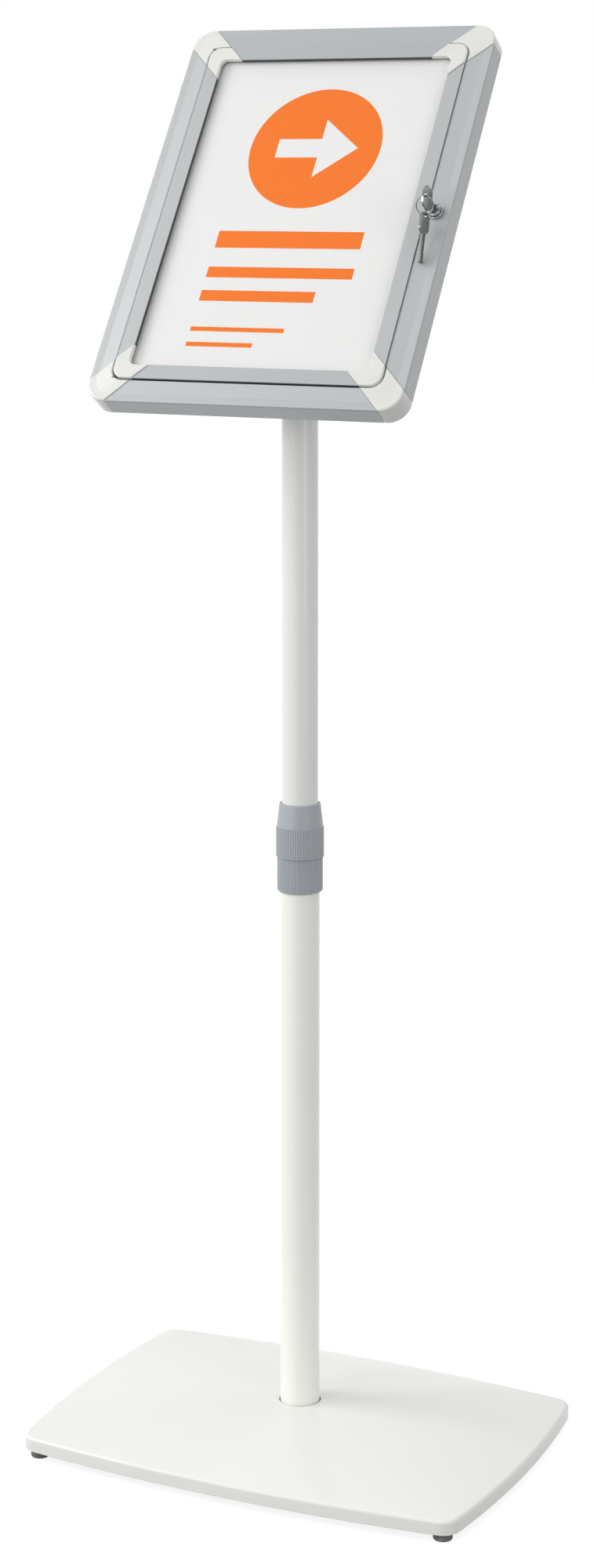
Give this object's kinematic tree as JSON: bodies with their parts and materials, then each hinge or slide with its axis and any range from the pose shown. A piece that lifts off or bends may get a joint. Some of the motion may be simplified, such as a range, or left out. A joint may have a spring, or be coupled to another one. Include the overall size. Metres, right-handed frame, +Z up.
{
  "type": "lockable display stand",
  "caption": "Free-standing display stand: a weighted base, a telescopic mast with a clamp collar and a tilting, rotating A4 case with a hinged, key-locked door.",
  "frame": {"origin": "middle of the base's plan, on the floor", "axes": "+Z up along the mast, +X to the viewer's right across the case, the case's front faces -Y"},
  "size_m": [0.3942, 0.2814, 1.1534],
  "materials": {
    "base_paint": "satin silver-grey powder coat",
    "weight_plate": "black painted steel plate",
    "zinc_steel": "zinc-plated steel",
    "foot_rubber": "black rubber",
    "tube_satin": "satin silver tube",
    "tube_bright": "bright satin silver tube",
    "collar_plastic": "grey moulded plastic",
    "collet_plastic": "natural plastic",
    "black_plastic": "black moulded plastic",
    "dark_paint": "dark grey powder coat",
    "case_profile": "matt silver anodised",
    "door_profile": "matt silver anodised",
    "corner_plastic": "light grey moulded plastic",
    "back_panel": "galvanised steel sheet",
    "board": "light grey foam board",
    "sheet": "matt white printed sheet",
    "window": "clear polished acrylic",
    "key_metal": "nickel-plated steel",
    "lock_chrome": "bright chrome"
  },
  "bodies": {
    "base": {"base_cover": "base_paint", "base_weight": "weight_plate", "foot_1": "foot_rubber", "foot_2": "foot_rubber", "foot_3": "foot_rubber", "foot_4": "foot_rubber", "foot_screw_1": "zinc_steel", "foot_screw_2": "zinc_steel", "foot_screw_3": "zinc_steel", "foot_screw_4": "zinc_steel", "mast_foot_plug": "zinc_steel", "mast_bolt": "zinc_steel", "mast_bolt_washer": "zinc_steel", "lower_tube": "tube_satin", "collar_body": "collar_plastic", "collet": "collet_plastic"},
    "clamp": {"clamp_ring": "collar_plastic"},
    "slider": {"guide_bush": "black_plastic"},
    "mast": {"upper_tube": "tube_bright", "mast_head": "dark_paint"},
    "head": {"tilt_bracket": "dark_paint", "tilt_bolt": "zinc_steel"},
    "knob": {"tilt_knob": "black_plastic"},
    "case": {"case_profile_right": "case_profile", "case_profile_top": "case_profile", "case_profile_left": "case_profile", "case_profile_bottom": "case_profile", "case_corner_top_right": "corner_plastic", "case_corner_top_left": "corner_plastic", "case_corner_bottom_left": "corner_plastic", "case_corner_bottom_right": "corner_plastic", "hinge_pin_top": "zinc_steel", "hinge_pin_bottom": "zinc_steel", "back_panel": "back_panel", "swivel_plate": "dark_paint", "swivel_bolt": "zinc_steel", "swivel_rivet_right": "zinc_steel", "swivel_rivet_left": "zinc_steel", "backing_board": "board", "insert_sheet": "sheet", "lock_body": "lock_chrome", "lock_nut": "zinc_steel"},
    "door": {"door_profile_right": "door_profile", "door_profile_top": "door_profile", "door_profile_left": "door_profile", "door_profile_bottom": "door_profile", "door_corner_top_right": "corner_plastic", "door_corner_top_left": "corner_plastic", "door_corner_bottom_left": "corner_plastic", "door_corner_bottom_right": "corner_plastic", "window": "window", "keeper": "zinc_steel"},
    "lock": {"lock_plug": "lock_chrome", "lock_cam": "zinc_steel", "key": "key_metal"},
    "ring": {"key_ring": "lock_chrome"},
    "spare": {"spare_key": "key_metal"}
  },
  "joints": [
    {"name": "clamp_twist", "type": "hinge", "parent": "base", "child": "clamp", "pos_m": [0, 0, 0.4817], "axis": [0, 0, 1], "range_deg": [0, 120]},
    {"name": "mast_slide", "type": "slide", "parent": "base", "child": "slider", "axis": [0, 0, 1], "range_m": [-0.12, 0.25]},
    {"name": "mast_turn", "type": "hinge", "parent": "slider", "child": "mast", "pos_m": [0, 0, 0.5], "axis": [0, 0, 1], "range_deg": [-180, 180]},
    {"name": "head_tilt", "type": "hinge", "parent": "mast", "child": "head", "pos_m": [0, 0, 0.94], "axis": [-1, 0, 0], "range_deg": [-33.9, 36]},
    {"name": "knob_turn", "type": "hinge", "parent": "head", "child": "knob", "pos_m": [0, 0, 0.94], "axis": [1, 0, 0], "range_deg": [0, 180]},
    {"name": "frame_turn", "type": "hinge", "parent": "head", "child": "case", "pos_m": [0, -0.01299, 1.00439], "axis": [0, -0.83, 0.5577], "range_deg": [0, 90]},
    {"name": "door_hinge", "type": "hinge", "parent": "case", "child": "door", "pos_m": [-0.11, -0.012, 1.00372], "axis": [0, -0.5577, -0.83], "range_deg": [0, 105]},
    {"name": "lock_turn", "type": "hinge", "parent": "case", "child": "lock", "pos_m": [0.1236, -0.01355, 1.00356], "axis": [0, -0.83, 0.5577], "range_deg": [0, 90]},
    {"name": "ring_swing", "type": "hinge", "parent": "lock", "child": "ring", "pos_m": [0.1236, -0.03513, 1.01671], "axis": [-1, 0, 0], "range_deg": [0, 40]},
    {"name": "spare_key_swing", "type": "hinge", "parent": "ring", "child": "spare", "pos_m": [0.1236, -0.03513, 1.00211], "axis": [-1, 0, 0], "range_deg": [0, 40]}
  ]
}
